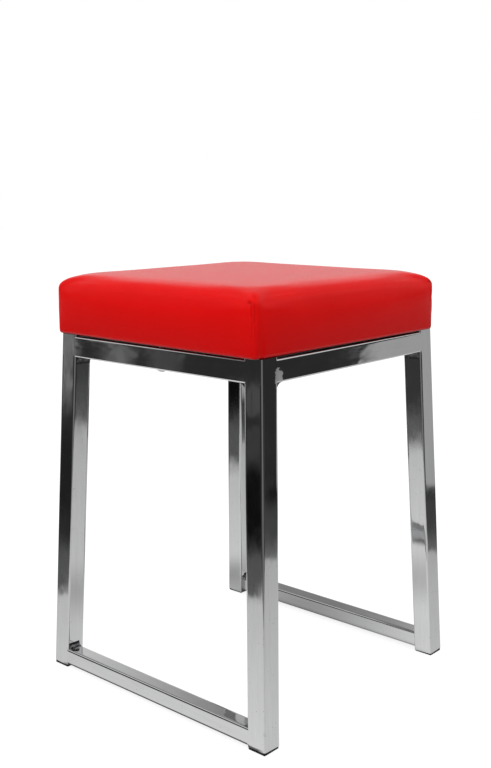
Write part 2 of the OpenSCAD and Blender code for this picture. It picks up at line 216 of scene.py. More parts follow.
# %% [markdown]
# The pale wall stands straight ahead, behind the stool. Two lights wash it, so it is dimmer in the gap
# between them, at both ends and at the top, and a dim band runs along it just above level.

# %% Paint the pale wall
wall_left = -76.0                       # how far round it reaches
wall_right = 66.0
wall_end_soft = 2.0
wall_foot = -12.9                       # where it meets the dark floor beyond
wall_foot_soft = 0.4
wall_end_light = 0.53                   # the share of its light that is left at the ends
wall_end_fade = (45.0, 60.0)
wall_top_light = 0.45                   # and at the top
wall_top_fade = (15.0, 40.0)
gap_centre = 2.5                        # the gap between the two lights
gap_fade = (1.5, 11.5)
gap_depth = 0.60
gap_height_fade = (14.0, 22.0)
low_band = (3.5, 1.5, 3.5)              # the dim band's middle, half height and softness
low_band_depth = 0.52


def paint_wall(tree, side, around, height):
    """The light of the wall in each direction."""
    ends = remap(tree, around, *wall_end_fade, 1.0, wall_end_light)
    top = remap(tree, height, *wall_top_fade, 1.0, wall_top_light)
    away = compute(tree, "ABSOLUTE", compute(tree, "SUBTRACT", side, gap_centre))
    gap = product(tree, remap(tree, away, *gap_fade, gap_depth, 0.0, smooth=False),
                  remap(tree, height, *gap_height_fade))
    band = product(tree, angle_window(tree, height, *low_band), low_band_depth)
    return product(tree, ends, top, compute(tree, "SUBTRACT", 1.0, band), compute(tree, "SUBTRACT", 1.0, gap))


def wall_window(tree, side, height):
    """1 in the directions that meet the wall."""
    left = remap(tree, side, wall_left - wall_end_soft, wall_left + wall_end_soft)
    right = remap(tree, side, wall_right - wall_end_soft, wall_right + wall_end_soft, 1.0, 0.0)
    foot = remap(tree, height, wall_foot - wall_foot_soft, wall_foot + wall_foot_soft)
    return product(tree, left, right, foot)


print("width of the pale wall, degrees:", wall_right - wall_left)

# %% [markdown]
# The lower part of every leg mirrors the pale floor. Its far edge is the sharp line that crosses each leg,
# so the edge is placed by angle too, with a slight tilt and a small rise far round at both sides.

# %% Paint the mirrored floor
floor_edge = -17.5                      # where the pale floor ends and the dark room begins
floor_edge_tilt = 0.8                   # higher at the right, and as much lower at the left
floor_edge_soft = 0.12
floor_edge_rises = [(-101.0, -104.0, 0.8), (87.0, 90.0, 0.6)]       # from a side to a side, and how much
floor_far_light = 0.74                  # at the edge
floor_near_light = 0.97                 # a few degrees below it
floor_light_depth = -8.0
floor_left_light = 1.10                 # the left of the floor is lighter than its right,
floor_right_light = 0.90
floor_side_fade = (-0.6, 0.6)           # between these parts of a direction to the right


def paint_mirrored_floor(tree, side, across, height):
    """1 in the directions that meet the floor, and its light there."""
    edge = compute(tree, "MULTIPLY_ADD", across, floor_edge_tilt, floor_edge)
    for start, end, rise in floor_edge_rises:
        edge = compute(tree, "ADD", edge, remap(tree, side, start, end, 0.0, rise))
    below = compute(tree, "SUBTRACT", height, edge)
    light = remap(tree, below, 0.0, floor_light_depth, floor_far_light, floor_near_light, smooth=False)
    light = product(tree, light, remap(tree, across, *floor_side_fade, floor_left_light, floor_right_light))
    return remap(tree, below, -floor_edge_soft, floor_edge_soft, 1.0, 0.0), light


print("edge of the mirrored floor, degrees:", floor_edge)

# %% [markdown]
# Everything that isn't a mirror gets a soft light. It is strong from above, and a bright band of the wall
# adds to it from ahead: that band is what lies as a pale sheen over the top of the seat.

# %% Paint the soft light
soft_low_light = 0.10
soft_high_light = 1.10
soft_fade = (0.05, 0.60)                # the parts of a direction upwards between which it grows
lit_wall_light = 0.82
lit_wall_height = (21.0, 10.0, 8.0)     # the bright band's middle, half height and softness
lit_wall_fade = (60.0, 95.0)


def paint_soft_light(tree, around, height, rise):
    """The light that lands on everything but mirrors."""
    from_above = remap(tree, rise, *soft_fade, soft_low_light, soft_high_light)
    from_wall = product(tree, angle_window(tree, height, *lit_wall_height),
                        remap(tree, around, *lit_wall_fade, lit_wall_light, 0.0))
    return compute(tree, "MAXIMUM", from_above, from_wall)


print("soft light, lowest and highest:", soft_low_light, soft_high_light)

# %% [markdown]
# Light Path tells what kind of ray asks for the world's light. So one world can be plain white to the
# camera, the painted studio to mirror rays, and the soft light to everything else.

# %% Paint the world


def paint_studio():
    """The world of the studio; returns how many nodes it took."""
    scene.world = bpy.data.worlds.new("studio")
    scene.world.use_nodes = True
    tree = scene.world.node_tree
    tree.nodes.clear()
    direction = add_node(tree, "ShaderNodeTexCoord").outputs["Generated"]
    turned = add_node(tree, "ShaderNodeMapping", {"Vector": direction, "Rotation": (0, 0, -camera_turn)})
    across, ahead, rise = add_node(tree, "ShaderNodeSeparateXYZ", {0: turned.outputs[0]}).outputs
    side = compute(tree, "DEGREES", compute(tree, "ARCTAN2", across, ahead))
    around = compute(tree, "ABSOLUTE", side)
    height = compute(tree, "DEGREES", compute(tree, "ARCSINE", rise))

    beyond = mix_values(tree, wall_window(tree, side, height), paint_room(tree, side, around, height),
                        paint_wall(tree, side, around, height))
    floor_seen, floor_light = paint_mirrored_floor(tree, side, across, height)
    mirrored = mix_values(tree, floor_seen, beyond, floor_light)

    rays = add_node(tree, "ShaderNodeLightPath").outputs
    mirror_ray = compute(tree, "MAXIMUM", rays["Is Glossy Ray"], rays["Is Transmission Ray"])
    seen = mix_values(tree, mirror_ray, paint_soft_light(tree, around, height, rise), mirrored)
    seen = mix_values(tree, rays["Is Camera Ray"], seen, 1.0)
    background = add_node(tree, "ShaderNodeBackground", {"Color": grey(1), "Strength": seen})
    add_node(tree, "ShaderNodeOutputWorld", {"Surface": background.outputs[0]})
    return len(tree.nodes)


print("nodes in the studio:", paint_studio())

# %% [markdown]
# The pale wall ends at the right, quite near the stool, so its end lies in another direction for each
# leg. A painted sky can't do that. A real card stands there instead, which only mirror rays see. It is the
# first of three flat pieces of the studio, and each of them starts as a grid of one square.

# %% Stand a pale card at the right
card_place = Vector((160, 0, 410)) * mm     # the middle of the right rail, which the angles are seen from
card_distance = 2.0
card_light = 0.53
card_foot = -17.3
card_top = 12.0
card_left = 60.0
card_right_at_foot = 84.8
card_right_at_top = 65.0


def new_flat(name, half):
    """A flat square of the studio, and the empty node tree of its material."""
    shape = bmesh.new()
    bmesh.ops.create_grid(shape, x_segments=1, y_segments=1, size=half)
    mesh = bpy.data.meshes.new(name)
    shape.to_mesh(mesh)
    shape.free()
    flat = bpy.data.objects.new(name, mesh)
    scene.collection.objects.link(flat)
    material = bpy.data.materials.new(name)
    material.use_nodes = True
    material.node_tree.nodes.clear()
    mesh.materials.append(material)
    return flat, material.node_tree


def studio_direction(side, height):
    """The direction at an angle round from straight ahead, to the right, and an angle above level."""
    turn, lift = math.radians(side), math.radians(height)
    ahead = Vector((-math.sin(camera_turn), math.cos(camera_turn), 0))
    right = Vector((math.cos(camera_turn), math.sin(camera_turn), 0))
    level = ahead * math.cos(turn) + right * math.sin(turn)
    return level * math.cos(lift) + Vector((0, 0, math.sin(lift)))


def stand_card():
    """The card's corners are set by angle, and then it is left for mirror rays alone."""
    card, tree = new_flat("pale_card", 1.0)
    corners = {(-1, -1): (card_left, card_foot), (1, -1): (card_right_at_foot, card_foot),
               (-1, 1): (card_left, card_top), (1, 1): (card_right_at_top, card_top)}
    for vertex in card.data.vertices:
        side, height = corners[round(vertex.co.x), round(vertex.co.y)]
        vertex.co = card_place + studio_direction(side, height) * card_distance
    card.data.update()
    glow = add_node(tree, "ShaderNodeEmission", {"Color": grey(1), "Strength": card_light})
    add_node(tree, "ShaderNodeOutputMaterial", {"Surface": glow.outputs[0]})
    card.visible_camera = card.visible_diffuse = card.visible_shadow = False
    return card


pale_card = stand_card()
print("top of the card, m:", round(max(vertex.co.z for vertex in pale_card.data.vertices), 2))

# %% [markdown]
# Three big soft lamps shape the cushion: the main one high on the left, a weaker one from the right, and
# a weak one straight above that lifts the red of the top. They are hidden from mirror rays, because the
# painted room already holds everything that the chrome shows.

# %% Hang the lamps
lamp_target = Vector((0, 0, 0.46))
# Where each lamp hangs, in metres, its width and its power in watts
lamps = {
    "main_lamp": ((0.1, -2.3, 1.75), 1.4, 22),
    "side_lamp": ((2.1, -0.4, 1.6), 1.2, 4),
    "top_lamp": ((0.0, 0.0, 2.6), 1.4, 5),
}


def hang_lamp(name, place, width, watts):
    """A square area lamp that looks at the seat."""
    data = bpy.data.lights.new(name, "AREA")
    data.shape = "SQUARE"
    data.size = width
    data.energy = watts
    lamp = bpy.data.objects.new(name, data)
    aim = (lamp_target - place).to_track_quat("-Z", "Y").to_matrix().to_4x4()
    lamp.matrix_world = Matrix.Translation(place) @ aim
    lamp.visible_glossy = lamp.visible_camera = False
    scene.collection.objects.link(lamp)


for lamp_name, (lamp_place, lamp_width, lamp_watts) in lamps.items():
    hang_lamp(lamp_name, Vector(lamp_place), lamp_width, lamp_watts)
print("lamps:", len(lamps))

# %% [markdown]
# The floor is one wide plane. To the camera it glows a little, so that it comes out as white as the
# background, and the rest of its brightness is ordinary lit paint, so that the stool keeps its shadow.

# %% Lay the floor
floor_half = 12.0
floor_paint = 0.60                      # how light the floor is to everything but the camera
floor_paint_seen = 0.28                 # what of that the camera sees,
floor_glow = 0.80                       # and the glow that makes up for the rest


def lay_floor():
    """A wide plane whose paint is thinned by a glow where the camera looks at it."""
    floor, tree = new_flat("floor", floor_half)
    paint = add_node(tree, "ShaderNodeBsdfDiffuse", {"Color": grey(floor_paint)})
    thin_paint = add_node(tree, "ShaderNodeBsdfDiffuse", {"Color": grey(floor_paint_seen)})
    glow = add_node(tree, "ShaderNodeEmission", {"Color": grey(1), "Strength": floor_glow})
    lit = add_node(tree, "ShaderNodeAddShader", {0: thin_paint.outputs[0], 1: glow.outputs[0]})
    camera_ray = add_node(tree, "ShaderNodeLightPath").outputs["Is Camera Ray"]
    shown = add_node(tree, "ShaderNodeMixShader", {0: camera_ray, 1: paint.outputs[0], 2: lit.outputs[0]})
    add_node(tree, "ShaderNodeOutputMaterial", {"Surface": shown.outputs[0]})
    floor.visible_glossy = False
    return floor


floor = lay_floor()
print("floor, m across:", 2 * floor_half)

# %% [markdown]
# The painted floor that the chrome mirrors has no shadows in it. A thin dark film just under the real
# floor adds them, for mirror rays alone: soft ones under the seat, and a tight one under each foot rail.

# %% Lay the mirrored shadows
film_half = 0.6
film_depth = 0.5 * mm
# Soft shadows, in mm: middle, how far they reach both ways, and the share of the light that they take
soft_shadows = [((-50, 150), (250, 150), 0.55), ((25, -30), (130, 130), 0.30), ((-215, 105), (90, 90), 0.40)]
rail_shadow = 0.85                                  # the share of the light that a foot rail takes
rail_shadow_inside = (140 * mm, 165 * mm)           # where its shadow begins,
rail_shadow_outside = (185 * mm, 188 * mm)          # ends,
rail_shadow_ends = (160 * mm, 172 * mm)             # and fades out along the rail


def oval_distance(tree, places, middles, reaches):
    """How far a place is from the middle of an oval, as a share of the way to its rim."""
    total = 0.0
    for place, middle, reach in zip(places, middles, reaches):
        share = compute(tree, "DIVIDE", compute(tree, "SUBTRACT", place, middle * mm), reach * mm)
        total = compute(tree, "MULTIPLY_ADD", share, share, total)
    return compute(tree, "SQRT", total)


def lay_mirrored_shadows():
    """A clear film that takes light away where shadows lie."""
    film, tree = new_flat("mirrored_shadows", film_half)
    film.data.transform(Matrix.Translation((0, 0, -film_depth)))
    place = add_node(tree, "ShaderNodeTexCoord").outputs["Object"]
    x, y, _ = add_node(tree, "ShaderNodeSeparateXYZ", {0: place}).outputs
    from_side, from_front = compute(tree, "ABSOLUTE", x), compute(tree, "ABSOLUTE", y)
    under_rail = product(tree, remap(tree, from_front, *rail_shadow_inside),
                         remap(tree, from_front, *rail_shadow_outside, 1.0, 0.0),
                         remap(tree, from_side, *rail_shadow_ends, rail_shadow, 0.0))
    left = compute(tree, "SUBTRACT", 1.0, under_rail)
    for middle, reach, share in soft_shadows:
        away = oval_distance(tree, (x, y), middle, reach)
        left = product(tree, left, remap(tree, away, 0.0, 1.0, 1.0 - share, 1.0))
    colour = add_node(tree, "ShaderNodeCombineColor", {0: left, 1: left, 2: left})
    clear = add_node(tree, "ShaderNodeBsdfTransparent", {"Color": colour.outputs[0]})
    add_node(tree, "ShaderNodeOutputMaterial", {"Surface": clear.outputs[0]})
    film.visible_camera = film.visible_diffuse = film.visible_shadow = film.visible_transmission = False
    return film


mirrored_shadows = lay_mirrored_shadows()
print("soft shadows on the film:", len(soft_shadows))

# %% [markdown]
# Several finishes share the same kinds of irregularity, so each kind is built once as a node group with
# its own inputs, and placed in every material that needs it. A group gives out only a value that changes
# over the surface. Each material decides what that value drives.

# %% A helper for node groups
groups = {}


def new_group(name, output, **inputs):
    """An empty shader group: it, its inputs (a Vector and some numbers) and the end of its one output."""
    group = bpy.data.node_groups.new(name, "ShaderNodeTree")
    group.interface.new_socket("Vector", in_out="INPUT", socket_type="NodeSocketVector")
    for key, value in inputs.items():
        group.interface.new_socket(key, in_out="INPUT", socket_type="NodeSocketFloat").default_value = value
    group.interface.new_socket(output, in_out="OUTPUT", socket_type="NodeSocketFloat")
    groups[name] = group
    given = add_node(group, "NodeGroupInput").outputs
    return group, given, add_node(group, "NodeGroupOutput").inputs[output]


# %% [markdown]
# `streaks` gives the long fine lines that drawing and polishing leave on tube. It is plain noise, and
# becomes streaks when its coordinates are drawn out one way. `mottle` gives a broad cloudy variation.

# %% Build the streaks and the mottle


def build_streaks():
    group, given, end = new_group("streaks", "Value", Density=900.0, Contrast=1.0)
    fine = add_node(group, "ShaderNodeTexNoise",
                    {"Vector": given["Vector"], "Scale": given["Density"], "Detail": 3.0})
    spread = product(group, compute(group, "SUBTRACT", fine.outputs[0], 0.5), given["Contrast"])
    group.links.new(compute(group, "ADD", spread, 0.5, clamp=True), end)


def build_mottle():
    group, given, end = new_group("mottle", "Value", Scale=20.0, Low=0.0, High=1.0)
    cloud = add_node(group, "ShaderNodeTexNoise",
                     {"Vector": given["Vector"], "Scale": given["Scale"], "Detail": 2.0})
    group.links.new(remap(group, cloud.outputs[0], 0.3, 0.7, given["Low"], given["High"]), end)


build_streaks()
build_mottle()
print("node groups:", sorted(groups))

# %% [markdown]
# `grain` gives the small pebbles of embossed vinyl or moulded plastic: cells whose outlines are bent a
# little by noise. `specks` gives the odd pit or grain of dust: small dots in a few of the cells.

# %% Build the grain and the specks


def build_grain():
    group, given, end = new_group("grain", "Height", Scale=1200.0, Wobble=0.0006)
    wander = add_node(group, "ShaderNodeTexNoise", {"Vector": given["Vector"], "Scale": 400.0})
    shift = add_node(group, "ShaderNodeVectorMath", {0: wander.outputs["Color"], "Scale": given["Wobble"]},
                     operation="SCALE")
    bent = add_node(group, "ShaderNodeVectorMath", {0: given["Vector"], 1: shift.outputs[0]},
                    operation="ADD")
    cells = add_node(group, "ShaderNodeTexVoronoi", {"Vector": bent.outputs[0], "Scale": given["Scale"]},
                     feature="DISTANCE_TO_EDGE")
    group.links.new(remap(group, cells.outputs["Distance"], 0.0, 0.3), end)


def build_specks():
    group, given, end = new_group("specks", "Mask", Scale=300.0, Amount=0.1)
    cells = add_node(group, "ShaderNodeTexVoronoi", {"Vector": given["Vector"], "Scale": given["Scale"]})
    near = remap(group, cells.outputs["Distance"], 0.1, 0.3, 1.0, 0.0)
    pick = add_node(group, "ShaderNodeSeparateColor", {0: cells.outputs["Color"]})
    chosen = compute(group, "LESS_THAN", pick.outputs[0], given["Amount"])
    group.links.new(product(group, near, chosen), end)


build_grain()
build_specks()
print("node groups:", sorted(groups))

# %% [markdown]
# Polishing rounds the corners of a tube off, and the eye knows square tube by the light that runs along
# that rounding. `soft_edges` is a height that falls away before each corner. Its Vector holds two
# distances from the tube's middle line.

# %% Build the soft edges
soft_edge_start = 3.4 * mm              # how far from a corner the face starts to round off
soft_edge_width = 1.6 * mm


def build_soft_edges():
    group, given, end = new_group("soft_edges", "Height", Half=0.0125)
    first, second, _ = add_node(group, "ShaderNodeSeparateXYZ", {0: given["Vector"]}).outputs
    inner = compute(group, "MINIMUM", compute(group, "ABSOLUTE", first), compute(group, "ABSOLUTE", second))
    start = compute(group, "SUBTRACT", given["Half"], soft_edge_start)
    share = compute(group, "DIVIDE", compute(group, "SUBTRACT", inner, start), soft_edge_width, clamp=True)
    group.links.new(product(group, share, share, -1.0), end)


build_soft_edges()
print("node groups:", sorted(groups))

# %% [markdown]
# At the near end of the right rail the grinding wheel ran off the weld and left a ragged dull patch on
# the outside. It crosses from the weld to the rail and to the leg, so it is a group that they share.

# %% Build the ground patch
patch_middle = (-134, 400)              # along the rail and up, in mm
patch_reach = (6.5, 15)
patch_fade = (0.75, 1.10)               # shares of the way to its rim between which it ends
patch_noise_scale = 240.0
patch_outside = 158 * mm                # it lies only on faces farther out than this


def build_ground_patch():
    group, given, end = new_group("ground_patch", "Mask", Ragged=1.1)
    x, y, z = add_node(group, "ShaderNodeSeparateXYZ", {0: given["Vector"]}).outputs
    away = oval_distance(group, (y, z), patch_middle, patch_reach)
    cloud = add_node(group, "ShaderNodeTexNoise", {"Vector": given["Vector"], "Scale": patch_noise_scale})
    uneven = compute(group, "SUBTRACT", cloud.outputs[0], 0.5)
    away = compute(group, "MULTIPLY_ADD", uneven, given["Ragged"], away)
    outside = compute(group, "GREATER_THAN", x, patch_outside)
    group.links.new(product(group, remap(group, away, *patch_fade, 1.0, 0.0), outside), end)


build_ground_patch()
print("node groups:", sorted(groups))

# %% [markdown]
# A material starts from a Principled shader. These helpers make one, place a group in it, mix two
# colours by a mask, turn a height into a bump, and join the results to the shader. A bump's distance is
# the real height of the relief in metres, so it stays true when the light or the camera changes.

# %% Helpers for materials


def new_material(name, **shader_inputs):
    """A material with a Principled shader, and the Object coordinates that its patterns read."""
    material = bpy.data.materials.new(name)
    material.use_nodes = True
    tree = material.node_tree
    shader = tree.nodes["Principled BSDF"]
    for key, value in shader_inputs.items():
        shader.inputs[key.replace("_", " ")].default_value = value
    place = add_node(tree, "ShaderNodeTexCoord").outputs["Object"]
    return material, tree, shader, place


def use_group(tree, name, vector, **inputs):
    """One of the shared groups, placed in a material with its own values."""
    return add_node(tree, "ShaderNodeGroup", {"Vector": vector, **inputs}, node_tree=groups[name]).outputs[0]


def mix_colours(tree, mask, first, second):
    """The first colour where the mask is 0 and the second where it is 1."""
    return add_node(tree, "ShaderNodeMix", {0: mask, 6: first, 7: second}, data_type="RGBA").outputs[2]


def add_bump(tree, height, distance, under=None):
    """A bump of a real depth, on top of an earlier bump if there is one."""
    node = add_node(tree, "ShaderNodeBump", {"Height": height, "Distance": distance})
    if under is not None:
        tree.links.new(under, node.inputs["Normal"])
    return node.outputs[0]


def height_of(tree, place):
    """How high a spot lies above the floor."""
    return add_node(tree, "ShaderNodeSeparateXYZ", {0: place}).outputs[2]


def join(tree, shader, **outputs):
    """Joins other nodes' outputs to the shader's inputs."""
    for key, output in outputs.items():
        tree.links.new(output, shader.inputs[key.replace("_", " ")])


# %% [markdown]
# The streaks of a tube run along it, and its soft edges follow its corners, which all lean. So a tube's
# patterns need coordinates of their own: Object coordinates drawn out along the tube for the streaks,
# and for the edges the two distances from the tube's middle line. The frame leans by the same angle both
# ways, and is the same on both sides, so distances from its middle planes are enough to work them out.

# %% Coordinates that follow a leaning tube
frame_half = 160.0 * mm                 # half the width of the frame at its top
leg_top = 425.0 * mm
foot_spread = 17.5 * mm                 # how much farther out the feet stand
lean = math.atan2(foot_spread, leg_top)


def stretched(tree, place, along, stretch):
    """Coordinates drawn out along one axis, so that noise becomes streaks that way."""
    scale = [1.0, 1.0, 1.0]
    scale["XYZ".index(along)] = 1.0 / stretch
    return add_node(tree, "ShaderNodeMapping", {"Vector": place, "Scale": scale}).outputs[0]


def lean_back(tree, out, height):
    """A distance out and a height, as distances out of the leaning outer plane and up along it."""
    past = compute(tree, "SUBTRACT", out, frame_half)
    rise = compute(tree, "SUBTRACT", height, leg_top)
    off = compute(tree, "ADD", product(tree, past, math.cos(lean)), product(tree, rise, math.sin(lean)))
    up = compute(tree, "SUBTRACT", product(tree, rise, math.cos(lean)), product(tree, past, math.sin(lean)))
    return off, up


def from_tube_middle(tree, place, along, half, run):
    """Distances from a tube's middle line; run is how far down the leaning plane a rail's middle lies."""
    x, y, z = add_node(tree, "ShaderNodeSeparateXYZ", {0: place}).outputs
    x, y = compute(tree, "ABSOLUTE", x), compute(tree, "ABSOLUTE", y)
    off, up = lean_back(tree, x if along == "Y" else y, z)
    if along == "Z":
        other = compute(tree, "ADD", lean_back(tree, x, compute(tree, "ADD", up, leg_top))[0], half)
    else:
        other = compute(tree, "ADD", up, run)
    return add_node(tree, "ShaderNodeCombineXYZ", {0: compute(tree, "ADD", off, half), 1: other}).outputs[0]


print("lean of the frame, degrees:", round(math.degrees(lean), 2))

# %% [markdown]
# Polishing can't round a corner off where another tube is in the way, and hardly reaches an underside. So
# the legs keep sharp corners beside their welds, and the top rails keep their lower corners.

# %% Where the corners are rounded
leg_soft_low = (22 * mm, 27 * mm)       # a leg's corners get soft above the foot rail's weld
leg_soft_high = (396 * mm, 400 * mm)    # and sharp again at the top rail's
rail_sharp_low = (390 * mm, 392 * mm)   # a top rail's corners are sharp between these heights
rail_sharp_high = (404 * mm, 408 * mm)


def softened(tree, along, height):
    """1 where polishing rounded the corners, and 0 where they stayed sharp."""
    if along == "Z":
        return product(tree, remap(tree, height, *leg_soft_low),
                       remap(tree, height, *leg_soft_high, 1.0, 0.0))
    sharp = product(tree, remap(tree, height, *rail_sharp_low),
                    remap(tree, height, *rail_sharp_high, 1.0, 0.0))
    return compute(tree, "SUBTRACT", 1.0, sharp)


print("a leg's corners are soft from", round(leg_soft_low[1] / mm), "to", round(leg_soft_high[0] / mm), "mm")

# %% [markdown]
# Chrome plate is a mirror that gives back a little more than half of the light. Under it lies tube that
# was drawn and then polished along its length, so fine streaks run that way, and broad shallow waves
# bend the reflections a little, more so near the welds. Legs, rails across, rails along and the smaller
# foot rails need the same finish with the streaks and the edges turned, so one function makes all four.

# %% Make the chrome
tube_half = 12.5 * mm
foot_half = 10.0 * mm
top_rail_run = 14.5 * mm                # from the legs' tops down to the middle of a top rail
foot_rail_run = 411.36 * mm             # and down to the middle of a foot rail
soft_edge_drop = 0.094 * mm
wave_height = 0.05 * mm
streak_height = 0.0006 * mm
plate_dim = (0.51, 0.515, 0.52, 1)
plate_bright = (0.61, 0.61, 0.615, 1)
plate_roughness = (0.035, 0.085)
plate_unevenness = (0.4, 1.6)           # streaks and haze together, where it is smoothest and roughest
patch_roughness = 0.40                  # what the ground patch adds
foot_weld_fade = (25 * mm, 70 * mm)     # the heat of a weld made the tube wavier beside it
top_weld_fade = (360 * mm, 395 * mm)
weld_waves = 0.8


def chrome_normal(tree, place, along, half, run, lines):
    """The relief of a tube: broad waves, then the soft corners, then the streaks."""
    height = height_of(tree, place)
    near_welds = compute(tree, "ADD", remap(tree, height, *foot_weld_fade, 1.0, 0.0),
                         remap(tree, height, *top_weld_fade))
    waves = use_group(tree, "mottle", stretched(tree, place, along, 2.5), Scale=40.0)
    waves = product(tree, waves, compute(tree, "MULTIPLY_ADD", near_welds, weld_waves, 1.0))
    corners = use_group(tree, "soft_edges", from_tube_middle(tree, place, along, half, run), Half=half)
    corners = product(tree, corners, softened(tree, along, height))
    normal = add_bump(tree, waves, wave_height)
    normal = add_bump(tree, corners, soft_edge_drop, normal)
    return add_bump(tree, lines, streak_height, normal)


def make_chrome(name, along, half, run=0.0):
    """Chrome for tubes that run along an axis; run places a rail's middle line."""
    material, tree, shader, place = new_material(name, Metallic=1.0)
    lines = use_group(tree, "streaks", stretched(tree, place, along, 60.0), Density=1400.0, Contrast=1.5)
    bands = use_group(tree, "streaks", stretched(tree, place, along, 25.0), Density=260.0, Contrast=1.2)
    haze = use_group(tree, "mottle", place, Scale=35.0)
    pits = use_group(tree, "specks", place, Scale=420.0, Amount=0.05)
    patch = use_group(tree, "ground_patch", place)
    tone = product(tree, compute(tree, "ADD", lines, bands), 0.5)
    colour = mix_colours(tree, pits, mix_colours(tree, tone, plate_dim, plate_bright), grey(0.30))
    rough = remap(tree, compute(tree, "ADD", lines, haze), *plate_unevenness, *plate_roughness, smooth=False)
    rough = compute(tree, "MULTIPLY_ADD", patch, patch_roughness, rough)
    join(tree, shader, Base_Color=colour, Roughness=rough,
         Normal=chrome_normal(tree, place, along, half, run, lines))
    return material


chromes = {
    "upright": make_chrome("chrome_upright", "Z", tube_half),
    "across": make_chrome("chrome_across", "X", tube_half, top_rail_run),
    "along": make_chrome("chrome_along", "Y", tube_half, top_rail_run),
    "foot": make_chrome("chrome_foot", "X", foot_half, foot_rail_run),
}
print("chromes:", list(chromes))

# %% [markdown]
# The welds were ground by hand and plated with the rest. On the outer faces they are as flat as the tube.
# In the inner corners the grinder hardly reaches: there the metal is uneven, and painted shade darkens it,
# most at the far end of each fillet from its rail. The height of a spot tells the two apart, because the
# inner fillets lie between the rails.

# %% Make the ground welds
top_rail_low = 398.0 * mm
foot_rail_high = 24.5 * mm
fillet_edge = 1.0 * mm                  # over this height the bright outer weld turns to the fillets' painted shade
top_fillet_tall = 9.0 * mm
foot_fillet_tall = 6.5 * mm
weld_colour = (0.56, 0.562, 0.567, 1)
# painted shade of the inner fillets: uneven, and deepest far from the rails
fillet_shade_dark = grey(0.06)
fillet_shade_light = (0.20, 0.20, 0.21, 1)
fillet_shade_deepest = grey(0.022)
weld_roughness = (0.07, 0.25)           # outside, and in the fillets
weld_patch_roughness = 0.33
fillet_relief = 0.35 * mm
flat_share = 0.04                       # how much of that relief the flat outer welds keep


def make_ground_weld():
    """Bright and flat outside; lumpy and darkened by painted shade in the inner corners."""
    material, tree, shader, place = new_material("ground_weld", Metallic=1.0)
    height = height_of(tree, place)
    inside = product(tree, remap(tree, height, foot_rail_high - fillet_edge, foot_rail_high),
                     remap(tree, height, top_rail_low, top_rail_low + fillet_edge, 1.0, 0.0))
    from_rail = compute(tree, "MINIMUM", remap(tree, height, top_rail_low, top_rail_low - top_fillet_tall),
                        remap(tree, height, foot_rail_high, foot_rail_high + foot_fillet_tall))
    lumps = use_group(tree, "mottle", place, Scale=170.0)
    pits = use_group(tree, "specks", place, Scale=600.0, Amount=0.10)
    # painted shade in the fillets, deepest far from the rails
    dark = mix_colours(tree, lumps, fillet_shade_dark, fillet_shade_light)
    dark = mix_colours(tree, from_rail, dark, fillet_shade_deepest)
    dark = mix_colours(tree, pits, dark, grey(0.30))
    patch = use_group(tree, "ground_patch", place)
    rough = compute(tree, "MULTIPLY_ADD", patch, weld_patch_roughness,
                    remap(tree, inside, 0.0, 1.0, *weld_roughness))
    relief = product(tree, lumps, remap(tree, inside, 0.0, 1.0, flat_share, 1.0))
    join(tree, shader, Base_Color=mix_colours(tree, inside, weld_colour, dark), Roughness=rough,
         Normal=add_bump(tree, relief, fillet_relief))
    return material


print("height of the fillets, mm:", [round(tall / mm, 1) for tall in (top_fillet_tall, foot_fillet_tall)])

# %% [markdown]
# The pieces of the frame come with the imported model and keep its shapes. Dressing one means emptying its
# list of materials and putting the new one in, and each tube gets the chrome that runs its own way.

# %% Dress the frame in chrome


def dress(material, *names):
    """Gives CAD nodes a material, without touching their shape."""
    for name in names:
        slots = nodes[name].data.materials
        slots.clear()
        slots.append(material)


legs = [name for name in nodes if name.endswith("_leg")]
dress(chromes["upright"], *legs, "leg_caps")
dress(chromes["across"], "front_top_rail", "back_top_rail")
dress(chromes["foot"], "front_foot_rail", "back_foot_rail")
dress(chromes["along"], "left_top_rail", "right_top_rail")
dress(make_ground_weld(), "top_corner_welds", "foot_corner_welds")
print("legs:", sorted(legs))

# %% [markdown]
# The seat is a box cushion: one sheet of vinyl folded down over a foam block, sewn into a dart at each
# corner, pulled under a plywood board and stapled. Its form is a closed skin, so it starts as a cube
# that planes cut into a grid, close together where the skin bends and far apart where it is flat. Every
# point of the cube then moves to its place on a rounded, crowned box. A voxel remesh would give an even
# net instead, but it loses the lines along the seams and the soft edge, and those are what is seen here.

# %% The cushion's measures
seat_half = 162.8 * mm
seat_low = 425.0 * mm
seat_high = 492.8 * mm
fold_radius = 3.6 * mm
edge_radius_middle = 12.0 * mm          # of the soft edge around the top, half way along a side
edge_radius_corner = 10.5 * mm          # and near a corner
edge_change_share = 0.5                 # from this share of the side on, the one turns into the other
corner_radius_side = 6.4 * mm           # of the upright corners
corner_radius_top = 20.5 * mm           # and of the top's outline
corner_radius_least = 1.0 * mm
side_bow = 0.6 * mm
crown_rise = 0.2 * mm
# Where the cuts lie: in mm in from the sides, and as shares of the way up
line_depths = [1.0, 2.2, 3.8, 6.0, 9.0, 13.0, 18.0, 24.0, 32.0, 42.0, 55.0, 70.0, 88.0, 108.0, 132.0]
level_shares = [0.03, 0.07, 0.14, 0.24, 0.36, 0.48, 0.58, 0.66, 0.72, 0.78, 0.83, 0.88, 0.94]


def blend(low, high, value):
    """A smooth step from 0 to 1 between two values."""
    share = min(max((value - low) / (high - low), 0.0), 1.0)
    return share * share * (3 - 2 * share)


def mix(first, second, share):
    """The value that lies a share of the way from the first to the second."""
    return first + (second - first) * share


print("planes that cut the cube:", 4 * len(line_depths) + 2 + len(level_shares))

# %% [markdown]
# Each level of the cushion is a square ring with rounded corners and slightly bowed sides. A point of
# the cube walks along its ring by its share of the side. The middle of each corner is where the seam will
# run.

# %% Walk along a ring


